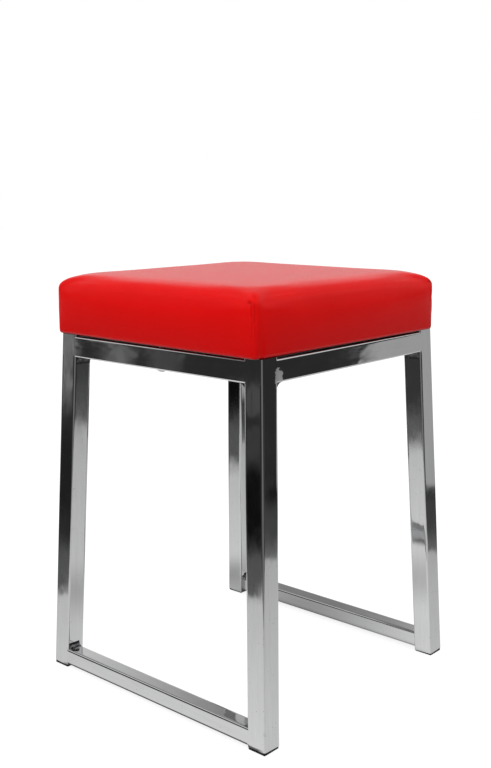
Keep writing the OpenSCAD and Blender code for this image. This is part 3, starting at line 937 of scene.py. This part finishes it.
def ring_place(half, radius, bow, share):
    """Distance along a side and out from the middle, for a share from -1 to 1 between corner middles."""
    straight = half - radius
    walk = abs(share) * (straight + radius * math.pi / 4)
    if walk <= straight:
        return math.copysign(walk, share), half + bow * (1 - (walk / straight) ** 2)
    angle = (walk - straight) / radius
    return math.copysign(straight + radius * math.sin(angle), share), straight + radius * math.cos(angle)


side_middle = ring_place(seat_half, corner_radius_side, side_bow, 0)
print("middle of a side, mm:", [round(place / mm, 1) for place in side_middle])

# %% [markdown]
# Which ring a point belongs to comes from its height on the cube's side, or from its distance to the
# middle on the cube's top and bottom. One walk leads from half way round the tight fold up the side and
# half way over the soft edge, and two more from its ends to the middles of the top and the underside.

# %% Walk up the side and over the edge


def profile_of_side(level, edge_radius):
    """Inset, height and roundness at a level: -1 is half way round the fold, 1 half way over the edge."""
    fold = fold_radius * math.pi / 4
    wall = seat_high - seat_low - fold_radius - edge_radius
    edge = edge_radius * math.pi / 4
    walk = (level + 1) / 2 * (fold + wall + edge)
    if walk < fold:
        angle = walk / fold_radius - math.pi / 4
        return fold_radius * (1 - math.cos(angle)), seat_low + fold_radius * (1 + math.sin(angle)), 0.0
    if walk < fold + wall:
        return 0.0, seat_low + fold_radius + walk - fold, 0.0
    angle = (walk - fold - wall) / edge_radius
    return (edge_radius * (1 - math.cos(angle)), seat_high - edge_radius * (1 - math.sin(angle)),
            angle / (math.pi / 2))


def profile_of_top(reach, edge_radius):
    """Inset, height, roundness and share of the crown, for a reach from 0, the middle, to 1."""
    flat = seat_half - edge_radius
    walk = reach * (flat + edge_radius * math.pi / 4)
    if walk <= flat:
        share = walk / flat
        return edge_radius, seat_high + crown_rise * (1 - share ** 2), 1.0, share
    angle = math.pi / 2 - (walk - flat) / edge_radius
    return (edge_radius * (1 - math.cos(angle)), seat_high - edge_radius * (1 - math.sin(angle)),
            angle / (math.pi / 2), 1.0)


def profile_of_bottom(reach):
    """Inset, height and share of the flat underside, for a reach from 0 to 1."""
    flat = seat_half - fold_radius
    walk = reach * (flat + fold_radius * math.pi / 4)
    if walk <= flat:
        return fold_radius, seat_low, walk / flat
    angle = (walk - flat) / fold_radius - math.pi / 2
    return fold_radius * (1 - math.cos(angle)), seat_low + fold_radius * (1 + math.sin(angle)), 1.0


foot_inset, foot_height, _ = profile_of_side(-1, edge_radius_middle)
print("foot of a side, mm in and mm above the floor:", round(foot_inset / mm, 1), round(foot_height / mm, 1))

# %% [markdown]
# The three walks together take any point of the cube to its place. The cube brings only its net, and
# cutting it by planes keeps the lines of that net straight along the seams and the soft edge.

# %% Move the cube's points to the cushion
tiny = 1e-6                             # a share this close to 0 or 1 counts as 0 or 1


def cushion_place(point):
    """Place on the cushion of a point on a cube that reaches from -1 to 1."""
    x, y, z = point
    reach = max(abs(x), abs(y))
    if reach < tiny:
        return Vector((0, 0, seat_high + crown_rise if z > 0 else seat_low))
    on_x_side = abs(x) >= abs(y)
    share = (y if on_x_side else x) / reach
    edge_radius = mix(edge_radius_middle, edge_radius_corner, blend(edge_change_share, 1.0, abs(share)))
    crown_share = 1.0
    if reach > 1 - tiny:
        inset, height, roundness = profile_of_side(z, edge_radius)
    elif z > 0:
        inset, height, roundness, crown_share = profile_of_top(reach, edge_radius)
    else:
        inset, height, crown_share = profile_of_bottom(reach)
        roundness = 0.0
    radius = mix(corner_radius_side, corner_radius_top, roundness)
    radius = max(radius - (inset if z < 0 else 0.0), corner_radius_least)
    along, out = ring_place(seat_half - inset, radius, side_bow, share)
    along, out = along * crown_share, math.copysign(out * crown_share, x if on_x_side else y)
    return Vector((out, along, height) if on_x_side else (along, out, height))


def cut_cube():
    """A cube from -1 to 1, cut into a grid that is close where the cushion bends."""
    shape = bmesh.new()
    bmesh.ops.create_cube(shape, size=2.0)
    places = [1 - depth * mm / seat_half for depth in line_depths]
    lines = sorted(places + [0.0] + [-place for place in places])
    cuts = [(Vector((line, 0, 0)), Vector((1, 0, 0))) for line in lines]
    cuts += [(Vector((0, line, 0)), Vector((0, 1, 0))) for line in lines]
    cuts += [(Vector((0, 0, 2 * share - 1)), Vector((0, 0, 1))) for share in level_shares]
    for place, across in cuts:
        everything = shape.verts[:] + shape.edges[:] + shape.faces[:]
        bmesh.ops.bisect_plane(shape, geom=everything, plane_co=place, plane_no=across)
    return shape


def new_piece(name, shape):
    """An object at the origin from a bmesh, shaded smooth."""
    mesh = bpy.data.meshes.new(name)
    shape.to_mesh(mesh)
    shape.free()
    mesh.polygons.foreach_set("use_smooth", [True] * len(mesh.polygons))
    piece = bpy.data.objects.new(name, mesh)
    scene.collection.objects.link(piece)
    return piece


cushion_shape = cut_cube()
for vertex in cushion_shape.verts:
    vertex.co = cushion_place(vertex.co)
cushion = new_piece("cushion", cushion_shape)
print("points of the cushion before it is filled:", len(cushion.data.vertices))

# %% [markdown]
# A stuffed cushion isn't a machined shape: the foam presses from inside, and the skin swells between
# its corners and its stapled edge. Blender's cloth can do that. The skin becomes cloth with a pressure
# inside and no gravity, its underside is pinned where the board holds it, and after twenty frames each
# point keeps a limited part of the way that it went. Vinyl over foam is stretched too tight to crease, so
# those ways are evened out between neighbours first. Then the cloth has done its work and is removed.

# %% Fill the cushion
fill_pressure = 0.9
fill_frames = 20
skin_quality = 6                        # steps of the cloth in each frame
skin_stretch = 60                       # how hard the skin is to stretch,
skin_shear = 20                         # to pull askew
skin_bend = 4                           # and to bend
swell_limit = 5.0 * mm
crease_rounds = 6


def even_out(values, mesh, rounds):
    """Averages each point's value with its neighbours' again and again, so that creases fade."""
    ends = np.array([edge.vertices[:] for edge in mesh.edges])
    neighbours = np.bincount(ends.ravel(), minlength=len(values))[:, None]
    for _ in range(rounds):
        total = np.zeros_like(values)
        np.add.at(total, ends[:, 0], values[ends[:, 1]])
        np.add.at(total, ends[:, 1], values[ends[:, 0]])
        values = (values + total / neighbours) / 2
    return values


def press_out(piece, limit):
    """Lets cloth pressure swell a closed skin, and returns the greatest distance that a point moved."""
    mesh = piece.data
    before = np.array([vertex.co[:] for vertex in mesh.vertices])
    held = piece.vertex_groups.new(name="held")
    held.add([int(i) for i in np.flatnonzero(before[:, 2] < seat_low + 2 * fold_radius)], 1.0, "REPLACE")
    cloth = piece.modifiers.new("filling", "CLOTH")
    settings = cloth.settings
    settings.quality = skin_quality
    settings.tension_stiffness = settings.compression_stiffness = skin_stretch
    settings.shear_stiffness = skin_shear
    settings.bending_stiffness = skin_bend
    settings.use_pressure = True
    settings.uniform_pressure_force = fill_pressure
    settings.vertex_group_mass = held.name
    settings.effector_weights.gravity = 0
    for frame_number in range(1, fill_frames + 1):
        scene.frame_set(frame_number)
    swollen = piece.evaluated_get(bpy.context.evaluated_depsgraph_get())
    after = np.array([vertex.co[:] for vertex in swollen.data.vertices])
    scene.frame_set(1)
    piece.modifiers.remove(cloth)
    piece.vertex_groups.remove(held)
    moved = even_out(after - before, mesh, crease_rounds)
    way = np.linalg.norm(moved, axis=1, keepdims=True)
    kept = limit * np.tanh(way / limit) / np.maximum(way, 1e-9)
    mesh.vertices.foreach_set("co", (before + moved * kept).ravel())
    mesh.update()
    return float(way.max())


print("greatest swelling before the limit, mm:", round(press_out(cushion, swell_limit) / mm, 2))
heights = [vertex.co.z for vertex in cushion.data.vertices]
print("cushion from", round(min(heights) / mm, 1), "to", round(max(heights) / mm, 1), "mm high")

# %% [markdown]
# One net of vinyl is too coarse for the seams, so two rounds of subdivision come first, applied to the
# mesh. At each corner the two sides of the sheet are sewn together in a dart: narrow grooves and ridges
# that end near the soft edge in a small pit. The depth of the grooves is also kept as an attribute of the
# mesh, so that the vinyl's material can find them and paint shade into them.

# %% Sew the corner seams
seam_reach = 9.0 * mm                   # how far a seam's relief reaches both ways
seam_depth = 12.0 * mm                  # and how far in from the corner it is looked for
groove_full = 0.6 * mm                  # a groove this deep gets the full painted shade
seam_end_outside, seam_end_inside = 3, 2    # in mm: where a line fades out at its ends
# Ridges and grooves of a seam, in mm: how far across, half width, lowest and highest place, and relief
seam_lines = [
    (-3.4, 0.9, 468, 483, -0.50),
    (-1.6, 0.8, 469, 484, 0.30),
    (-0.1, 0.9, 463, 484, -0.40),
    (-5.6, 1.5, 461, 478, 0.50),
    (-2.8, 0.9, 446, 466, -0.38),
    (-0.6, 0.9, 447, 462, 0.32),
    (-1.6, 0.8, 428, 444, -0.15),
]
# The pit where the thread ends, the tuck above it and a dimple: across, height, half width, relief, in mm
seam_spots = [(-5.2, 483.0, 1.7, -0.9), (-3.4, 486.8, 2.0, 0.55), (0.2, 489.0, 1.8, -0.30)]


def apply_modifiers(piece):
    """Replaces the mesh of a piece by the one that its modifiers make."""
    made = bpy.data.meshes.new_from_object(piece.evaluated_get(bpy.context.evaluated_depsgraph_get()))
    piece.modifiers.clear()
    piece.data = made


def bell(distance, width):
    """1 in the middle, and next to nothing beyond twice the width."""
    return math.exp(-(distance / width) ** 2)


def seam_relief(across, height):
    """How far the skin stands in or out, at a distance across the seam and a height."""
    relief = 0.0
    for place, half_width, low, high, depth in seam_lines:
        started = blend((low - seam_end_outside) * mm, (low + seam_end_inside) * mm, height)
        ended = blend((high - seam_end_inside) * mm, (high + seam_end_outside) * mm, height)
        relief += depth * mm * started * (1 - ended) * bell(across - place * mm, half_width * mm)
    for place, level, half_width, depth in seam_spots:
        away = math.hypot(across - place * mm, height - level * mm)
        relief += depth * mm * bell(away, half_width * mm)
    return relief


def sew_corners(piece):
    """Moves the skin in and out along the seams, and returns how many points that took."""
    corner_ways = [Vector((x, y, 0)).normalized() for x in (-1, 1) for y in (-1, 1)]
    shifts = []
    grooves = piece.data.attributes.new("groove", "FLOAT", "POINT")
    for vertex in piece.data.vertices:
        spot = vertex.co
        way = max(corner_ways, key=lambda one: one.dot(spot))
        across = spot.dot(Vector((-way.y, way.x, 0)))
        if abs(across) < seam_reach and spot.dot(way) > (seat_half - seam_depth) * math.sqrt(2):
            relief = seam_relief(across, spot.z)
            shifts.append((vertex.index, vertex.normal * relief))
            grooves.data[vertex.index].value = min(max(-relief / groove_full, 0.0), 1.0)
    for index, shift in shifts:
        piece.data.vertices[index].co += shift
    piece.data.update()
    return len(shifts)


smoother = cushion.modifiers.new("smoother", "SUBSURF")
smoother.levels = smoother.render_levels = 2
apply_modifiers(cushion)
print("points on the seams:", sew_corners(cushion))

# %% [markdown]
# The finished cushion isn't quite square on its frame: it is turned by a little over a degree, and sits
# a little too far to the left and to the front. A soft skin can't pass through the board inside it either,
# so wherever the turn would bring it too close to the straight board, it is pressed out again.

# %% Seat the cushion on its board
cushion_turn = math.radians(-1.3)
cushion_shift = Vector((-1.0, -2.4, 0)) * mm
board_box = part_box("seat_board")
board_low, board_high, board_half = board_box[0].z, board_box[1].z, board_box[1].x
board_corner = 4.0 * mm
# How far the skin keeps from the board's outline, in mm: beneath it, at its lower face and beside it
gap_beneath, gap_at_foot, gap_beside = -1.0, 0.5, 1.3
foot_of_board = (-1.0 * mm, 0.3 * mm)   # the heights, from the lower face, between which the gap opens,
side_of_board = 3.0 * mm                # and above which it is whole
over_board = 24.0 * mm                  # by this height over the board the gap is no longer kept
over_board_ease = 4.0 * mm
board_inside = 8.0 * mm                 # a point deeper inside than this lies on the flat top or bottom


def keep_off_board(spot):
    """The place of a skin point, moved out if the board is nearer than the skin is thick."""
    if spot.z > board_high + over_board:
        return spot
    opening = blend(board_low + foot_of_board[0], board_low + foot_of_board[1], spot.z)
    need = mix(gap_beneath, gap_at_foot, opening)
    need = mix(need, gap_beside, blend(board_low, board_low + side_of_board, spot.z)) * mm
    need -= over_board_ease * blend(board_high, board_high + over_board, spot.z)
    corner = Vector((board_half - board_corner,) * 2)
    beyond = Vector((abs(spot.x) - corner.x, abs(spot.y) - corner.y))
    if beyond.x > 0 and beyond.y > 0:
        away, outward = beyond.length - board_corner, beyond.normalized()
    else:
        away = max(beyond) - board_corner
        outward = Vector((1, 0)) if beyond.x > beyond.y else Vector((0, 1))
    if away > need or away < -board_inside:
        return spot
    step = outward * (need - away)
    return spot + Vector((math.copysign(step.x, spot.x), math.copysign(step.y, spot.y), 0))


turn = Matrix.Translation(cushion_shift) @ Matrix.Rotation(cushion_turn, 4, "Z")
for vertex in cushion.data.vertices:
    vertex.co = keep_off_board(turn @ vertex.co)
cushion.data.update()
spots = np.array([vertex.co[:] for vertex in cushion.data.vertices]) / mm
print("cushion, mm:", spots.min(axis=0).round(1).tolist(), spots.max(axis=0).round(1).tolist())

# %% [markdown]
# The vinyl is a satin red with a fine embossed grain. Most of its look is plain Base Color, but it varies:
# a faint cloudiness, and painted shade: darker low on the sides, in the seams' grooves and where the
# skin folds under. A low specular level keeps the red pure, and a broad faint drape in the bump keeps
# its reflections from looking machined.

# %% Dress the cushion in vinyl
vinyl_deep = (0.645, 0.0034, 0.0030, 1)
vinyl_bright = (0.675, 0.0040, 0.0036, 1)
# painted shade: the sides get darker towards their foot
vinyl_low_shade = (0.53, 0.0022, 0.0020, 1)
# painted shade in the seams' grooves
vinyl_groove_shade = (0.50, 0.0026, 0.0026, 1)
# painted shade where the skin folds under the seat
vinyl_fold_shade = (0.20, 0.0030, 0.0030, 1)
low_shade_height = 45 * mm                # how far up from the fold the painted shade reaches
fold_shade_height = 2.5 * mm
vinyl_roughness = (0.24, 0.18)          # in the grain's grooves, and on its pebbles
vinyl_shine = 0.088
pebble_height = 0.03 * mm
drape_height = 0.25 * mm


def make_vinyl():
    """Red vinyl with painted shade in its seams, found by the mesh's attribute, and low on its sides and at
    its fold, found by height.
    """
    material, tree, shader, place = new_material("red_vinyl", IOR=1.45, Specular_IOR_Level=vinyl_shine)
    height = height_of(tree, place)
    groove = add_node(tree, "ShaderNodeAttribute", attribute_name="groove", attribute_type="GEOMETRY")
    low_shade = remap(tree, height, seat_low, seat_low + low_shade_height, 1.0, 0.0, smooth=False)
    folded = remap(tree, height, seat_low, seat_low + fold_shade_height, 1.0, 0.0)
    colour = mix_colours(tree, use_group(tree, "mottle", place, Scale=18.0), vinyl_deep, vinyl_bright)
    # painted shade, darker towards the foot of the sides
    colour = mix_colours(tree, low_shade, colour, vinyl_low_shade)
    # painted shade in the seams' grooves, by their depth
    colour = mix_colours(tree, groove.outputs["Fac"], colour, vinyl_groove_shade)
    # painted shade at the fold
    colour = mix_colours(tree, folded, colour, vinyl_fold_shade)
    pebbles = use_group(tree, "grain", place, Scale=1500.0, Wobble=0.0005)
    drape = use_group(tree, "mottle", place, Scale=9.0)
    join(tree, shader, Base_Color=colour, Roughness=remap(tree, pebbles, 0.0, 1.0, *vinyl_roughness),
         Normal=add_bump(tree, pebbles, pebble_height, add_bump(tree, drape, drape_height)))
    return material


cushion.data.materials.clear()
cushion.data.materials.append(make_vinyl())
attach(cushion, "root")
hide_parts("seat_cover", "seat_foam")
print("finish of the cushion:", cushion.data.materials[0].name)

# %% [markdown]
# A black non-woven sheet closes the underside. It is cut square, with its corners notched for the four
# legs that carry the seat, and lies under the seat's edge, above the rails. Between its staples it sags
# a little. A grid is the natural start for a sheet, and Solidify gives it its thickness.

# %% Stretch the dust cover
dust_half = 156.0 * mm
dust_notch = 27.0 * mm
dust_squares = 104
dust_high = 424.9 * mm
dust_thickness = 0.35 * mm
dust_sag = 1.6 * mm
dust_free_half = 133 * mm               # what lies farther out is held flat by the staples
sag_steepness = 1.6                     # how soon the sag is reached, inwards from there
ripple_height = 0.15 * mm
ripple_steepness = 6
ripple_lengths = (21 * mm, 27 * mm)
ripple_phase = 1.0


def dust_drop(x, y):
    """How far the sheet hangs down at a place, with its faint ripple."""
    free = max(1 - max(abs(x), abs(y)) / dust_free_half, 0.0)
    ripple = math.sin(x / ripple_lengths[0]) * math.sin(y / ripple_lengths[1] + ripple_phase)
    sag = dust_sag * (1 - (1 - min(free * sag_steepness, 1.0)) ** 2)
    return sag - ripple * ripple_height * min(free * ripple_steepness, 1)


def stretch_dust_cover():
    """The notched grid, let down and thickened."""
    shape = bmesh.new()
    bmesh.ops.create_grid(shape, x_segments=dust_squares, y_segments=dust_squares, size=dust_half)
    notch = dust_half - dust_notch
    middles = {face: face.calc_center_median() for face in shape.faces}
    corners = [face for face, middle in middles.items() if min(abs(middle.x), abs(middle.y)) > notch]
    bmesh.ops.delete(shape, geom=corners, context="FACES")
    for vertex in shape.verts:
        vertex.co.z = dust_high - dust_drop(vertex.co.x, vertex.co.y)
    cover = new_piece("dust_sheet", shape)
    thickness = cover.modifiers.new("thickness", "SOLIDIFY")
    thickness.thickness = dust_thickness
    thickness.offset = -1
    return cover


dust_sheet = stretch_dust_cover()
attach(dust_sheet, "root")
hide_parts("dust_cover")
print("squares of the dust cover:", len(dust_sheet.data.polygons))

# %% [markdown]
# Wire staples hold the sheet to the board. Only their backs show, as short flat bars, so one small
# bevelled bar is repeated along the four sides.

# %% Drive the staples
staple_places = [-105, -70, -35, 0, 35, 70, 105]        # along each side, in mm
staple_row = 126.5 * mm
staple_high = 424.1 * mm
staple_size = Vector((10.0, 1.2, 0.7)) * mm
staple_bevel = 0.15 * mm


def drive_staples():
    """All the staples in one piece, a side at a time."""
    shape = bmesh.new()
    for quarter in range(4):
        side = Matrix.Rotation(math.radians(90 * quarter), 3, "Z")
        for place in staple_places:
            bar = bmesh.ops.create_cube(shape, size=1.0)["verts"]
            bmesh.ops.scale(shape, vec=staple_size, verts=bar)
            bmesh.ops.translate(shape, vec=(place * mm, staple_row, staple_high), verts=bar)
            bmesh.ops.rotate(shape, matrix=side, verts=bar)
    bmesh.ops.bevel(shape, geom=shape.edges[:], offset=staple_bevel, offset_type="OFFSET", segments=1,
                    profile=0.5, affect="EDGES", material=-1)
    return new_piece("staples", shape)


staples = drive_staples()
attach(staples, "root")
print("staples:", 4 * len(staple_places))

# %% [markdown]
# The dust cover is a mat of pressed fibres with small bonded dots. Fibres are streaks with a strong
# contrast, drawn out only a little, and the dots are the same grain as the vinyl's, three times as large.

# %% Make the fleece
fleece_dark = (0.010, 0.010, 0.011, 1)
fleece_pale = (0.035, 0.035, 0.038, 1)
bond_height = 0.08 * mm
fibre_height = 0.05 * mm


def make_fleece():
    """Matt black, with fibres that all but hide the dots."""
    material, tree, shader, place = new_material("black_fleece", Roughness=0.95)
    fibres = use_group(tree, "streaks", stretched(tree, place, "X", 6.0), Density=1500.0, Contrast=2.0)
    dots = use_group(tree, "grain", place, Scale=500.0, Wobble=0.0002)
    join(tree, shader, Base_Color=mix_colours(tree, fibres, fleece_dark, fleece_pale),
         Normal=add_bump(tree, fibres, fibre_height, add_bump(tree, dots, bond_height)))
    return material


dust_sheet.data.materials.append(make_fleece())
print("finish of the dust cover:", dust_sheet.data.materials[0].name)

# %% [markdown]
# The glides are moulded black plastic: a fine grit from the mould, a shine that varies a little, and dust
# on it, since they stand on the floor.

# %% Mould the glides
plastic_black = (0.006, 0.006, 0.0065, 1)
plastic_worn = (0.012, 0.012, 0.013, 1)
plastic_roughness = (0.38, 0.55)
plastic_shine = 0.2
grit_height = 0.03 * mm


def make_black_plastic():
    """Black plastic with grit and dust."""
    material, tree, shader, place = new_material("black_plastic", Specular_IOR_Level=plastic_shine)
    cloud = use_group(tree, "mottle", place, Scale=90.0)
    grit = use_group(tree, "grain", place, Scale=1800.0, Wobble=0.0004)
    dust = use_group(tree, "specks", place, Scale=500.0, Amount=0.08)
    colour = mix_colours(tree, dust, mix_colours(tree, cloud, plastic_black, plastic_worn), grey(0.10))
    join(tree, shader, Base_Color=colour, Roughness=remap(tree, cloud, 0.0, 1.0, *plastic_roughness),
         Normal=add_bump(tree, grit, grit_height))
    return material


glides = [name for name in nodes if name.endswith("_glide")]
dress(make_black_plastic(), *glides)
print("glides:", sorted(glides))

# %% [markdown]
# The seat board is birch plywood. Its faces show long growth lines, and its edges the plies, every other
# one darker. A Math node in Ping-Pong mode turns the height into the wave that tells them apart.

# %% Lay up the plywood
ply_thickness = 1.7 * mm
ply_change = (0.6 * mm, 1.1 * mm)       # how far from the middle of a dark ply the wood turns pale
face_dark, face_pale = (0.50, 0.33, 0.18, 1), (0.70, 0.52, 0.31, 1)
edge_dark, edge_pale = (0.30, 0.18, 0.09, 1), (0.62, 0.45, 0.26, 1)
wood_relief = 0.06 * mm


def make_plywood():
    """Growth lines over plies."""
    material, tree, shader, place = new_material("plywood", Roughness=0.7)
    ply = remap(tree, compute(tree, "PINGPONG", height_of(tree, place), ply_thickness), *ply_change)
    rings = use_group(tree, "streaks", stretched(tree, place, "X", 14.0), Density=220.0, Contrast=1.8)
    face = mix_colours(tree, rings, face_dark, face_pale)
    edge = mix_colours(tree, ply, edge_dark, edge_pale)
    join(tree, shader, Base_Color=mix_colours(tree, product(tree, ply, 0.5), edge, face),
         Normal=add_bump(tree, rings, wood_relief))
    return material


dress(make_plywood(), "seat_board")
print("finish of the board:", nodes["seat_board"].data.materials[0].name)

# %% [markdown]
# Screws, tee nuts and staples are zinc plated. Zinc is greyer and duller than chrome, with a cloudy
# bloom, and the lines of turning and drawing still show through it.

# %% Plate the fasteners
zinc_dim, zinc_bright = (0.42, 0.43, 0.43, 1), (0.60, 0.60, 0.58, 1)
zinc_roughness = (0.22, 0.42)
turning_height = 0.01 * mm


def make_zinc():
    """Cloudy zinc with fine lines."""
    material, tree, shader, place = new_material("zinc", Metallic=1.0)
    cloud = use_group(tree, "mottle", place, Scale=260.0)
    lines = use_group(tree, "streaks", stretched(tree, place, "Z", 10.0), Density=1500.0, Contrast=1.2)
    join(tree, shader, Base_Color=mix_colours(tree, cloud, zinc_dim, zinc_bright),
         Roughness=remap(tree, cloud, 0.0, 1.0, *zinc_roughness),
         Normal=add_bump(tree, lines, turning_height))
    return material


zinc = make_zinc()
staples.data.materials.append(zinc)
dress(zinc, "tee_nuts", "seat_screws")
print("materials:", len(bpy.data.materials))
